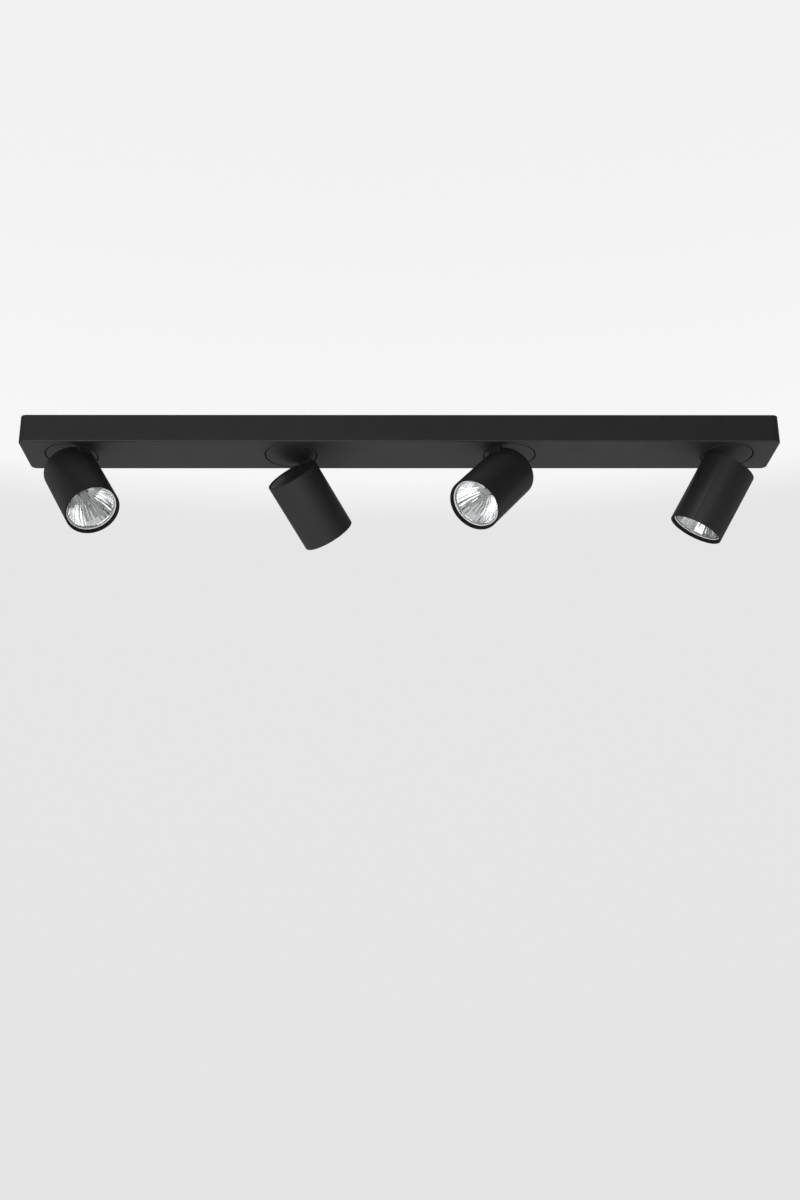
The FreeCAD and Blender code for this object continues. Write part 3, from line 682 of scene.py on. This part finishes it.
# Lamp bases. White ceramic caps cemented on the reflectors' necks, each with two nickel-plated
# mushroom pins that twist into the holder.
lamp_cap_top = 0.0475
cap_profile = [(0.0, 0.0360), (0.0100, 0.0360), (0.0105, 0.0365), (0.0105, 0.0395), (0.0101, 0.0400),
               (0.0105, 0.0405), (0.0105, 0.0470), (0.0100, lamp_cap_top), (0.0, lamp_cap_top)]
pin_profile = [(0.0, 0.0), (0.0016, 0.0), (0.0016, 0.0040), (0.0023, 0.0040), (0.00245, 0.0042),
               (0.00245, 0.0058), (0.0021, 0.0064), (0.0012, 0.0066), (0.0, 0.0066)]
pin_turn = math.radians(30.0)
pin_pitch = 0.005           # from the lamp's axis to each pin
lamp_cap_mesh = turned("lamp_cap", cap_profile, 48, smooth=False)
lamp_cap_mesh.materials.append(finish_of(
    "white_ceramic", (0.74, 0.73, 0.70), (0.83, 0.82, 0.79), (0.86, 0.85, 0.83),
    0.42, 0.2, 0.00003, {"Grain": 1300.0}))
pin_mesh = turned("contact_pin", pin_profile, 24)
pin_mesh.materials.append(finish_of(
    "nickel_plate", (0.55, 0.52, 0.46), (0.70, 0.67, 0.61), (0.80, 0.78, 0.73),
    0.24, 0.25, 0.000006, {"Mottle": 500.0}, metal=1.0))
for number in range(1, 5):
    body = "head_%d" % number
    lamp_cap = set_piece("lamp_cap_%d" % number, lamp_cap_mesh, lamp_place(number), body)
    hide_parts("lamp_body_%d" % number)
    for side, label in ((1, "left"), (-1, "right")):
        reach = side * pin_pitch
        spot = Vector((reach * math.cos(pin_turn), reach * math.sin(pin_turn), lamp_cap_top))
        pin = set_piece("contact_pin_%s_%d" % (label, number), pin_mesh,
                        lamp_place(number) @ Matrix.Translation(spot), body)
        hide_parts("lamp_body_%d" % number)


# Front glasses. Clear pressed discs cemented into the reflectors' rims.
clear_glass = bpy.data.materials.new("clear_glass")
clear_glass.use_nodes = True
glass_tree = clear_glass.node_tree
glass_shader = glass_tree.nodes["Principled BSDF"]
glass_shader.inputs["Transmission Weight"].default_value = 1.0
glass_shader.inputs["IOR"].default_value = 1.47
glass_grain = placed_group(glass_tree, grain_group, {"Grain": 300.0, "Mottle": 60.0})
glass_tint = mixed_colour(glass_tree, glass_grain.outputs["Shade"], (0.96, 0.97, 0.97), (1.0, 1.0, 1.0))
glass_tree.links.new(glass_tint, glass_shader.inputs["Base Color"])
glass_haze = math_node(glass_tree, "MULTIPLY_ADD", glass_grain.outputs["Sheen Change"], 0.006, 0.003)
glass_tree.links.new(glass_haze, glass_shader.inputs["Roughness"])
bumped(glass_tree, glass_grain.outputs["Height"], 0.000002)
dressed(numbered("lamp_glass"), clear_glass)


# Burners. A round-ended quartz capsule on each lamp's axis, its stem held in the neck, with a
# coiled tungsten filament across it.
capsule_radius = 0.0042
capsule_tip = 0.0090
dome_angles = [math.radians(15 * k) for k in range(1, 7)]
capsule_points = [(0.0, capsule_tip)]
capsule_points += [(capsule_radius * math.sin(angle), capsule_tip + capsule_radius * (1 - math.cos(angle)))
                   for angle in dome_angles]
capsule_points += [(capsule_radius, 0.0240), (0.0038, 0.0258), (0.0030, 0.0270), (0.0030, 0.0355),
                   (0.0, 0.0357)]
quartz = bpy.data.materials.new("quartz")
quartz.use_nodes = True
quartz_tree = quartz.node_tree
quartz_shader = quartz_tree.nodes["Principled BSDF"]
quartz_shader.inputs["Transmission Weight"].default_value = 0.5
quartz_shader.inputs["IOR"].default_value = 1.46
quartz_grain = placed_group(quartz_tree, grain_group, {"Grain": 900.0, "Mottle": 200.0})
quartz_tint = mixed_colour(quartz_tree, quartz_grain.outputs["Shade"], (0.92, 0.93, 0.93), (1.0, 1.0, 1.0))
quartz_tree.links.new(quartz_tint, quartz_shader.inputs["Base Color"])
quartz_haze = math_node(quartz_tree, "MULTIPLY_ADD", quartz_grain.outputs["Sheen Change"], 0.15, 0.30)
quartz_tree.links.new(quartz_haze, quartz_shader.inputs["Roughness"])
bumped(quartz_tree, quartz_grain.outputs["Height"], 0.00001)
capsule_mesh = turned("burner_capsule", capsule_points, 40)
capsule_mesh.materials.append(quartz)

tungsten = finish_of("tungsten", (0.22, 0.21, 0.20), (0.38, 0.36, 0.34), (0.5, 0.48, 0.46),
                     0.35, 0.3, 0.000004, {"Mottle": 900.0}, metal=1.0)
coil_tree, coil_in, coil_out = node_tree(
    "filament_coil", [("Radius", "NodeSocketFloat", 0.0005), ("Length", "NodeSocketFloat", 0.005),
                      ("Turns", "NodeSocketFloat", 9.0), ("Wire", "NodeSocketFloat", 0.00012),
                      ("Material", "NodeSocketMaterial", None)])
coil_line = coil_tree.nodes.new("GeometryNodeCurveSpiral")
coil_line.inputs["Resolution"].default_value = 14
for label, entry in (("Turns", "Rotations"), ("Radius", "Start Radius"),
                     ("Radius", "End Radius"), ("Length", "Height")):
    joined(coil_tree, coil_in, label, coil_line, entry)
coil_round = coil_tree.nodes.new("GeometryNodeCurvePrimitiveCircle")
coil_round.inputs["Resolution"].default_value = 6
joined(coil_tree, coil_in, "Wire", coil_round, "Radius")
coil_sweep = coil_tree.nodes.new("GeometryNodeCurveToMesh")
coil_sweep.inputs["Fill Caps"].default_value = True
joined(coil_tree, coil_line, "Curve", coil_sweep, "Curve")
joined(coil_tree, coil_round, "Curve", coil_sweep, "Profile Curve")
tree_end(coil_tree, coil_sweep, "Mesh", coil_in, coil_out)
coil_mesh = grown("filament", coil_tree, {"Radius": 0.0006, "Length": 0.0052, "Turns": 10.0,
                                          "Wire": 0.00013, "Material": tungsten})
coil_spot = Matrix.Translation((-0.0026, 0.0, 0.0165)) @ Matrix.Rotation(math.pi / 2, 4, "Y")
for number in range(1, 5):
    body = "head_%d" % number
    capsule = set_piece("burner_capsule_%d" % number, capsule_mesh, lamp_place(number), body)
    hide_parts("lamp_burner_%d" % number)
    filament = set_piece("filament_%d" % number, coil_mesh, lamp_place(number) @ coil_spot, body)
    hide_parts("lamp_burner_%d" % number)
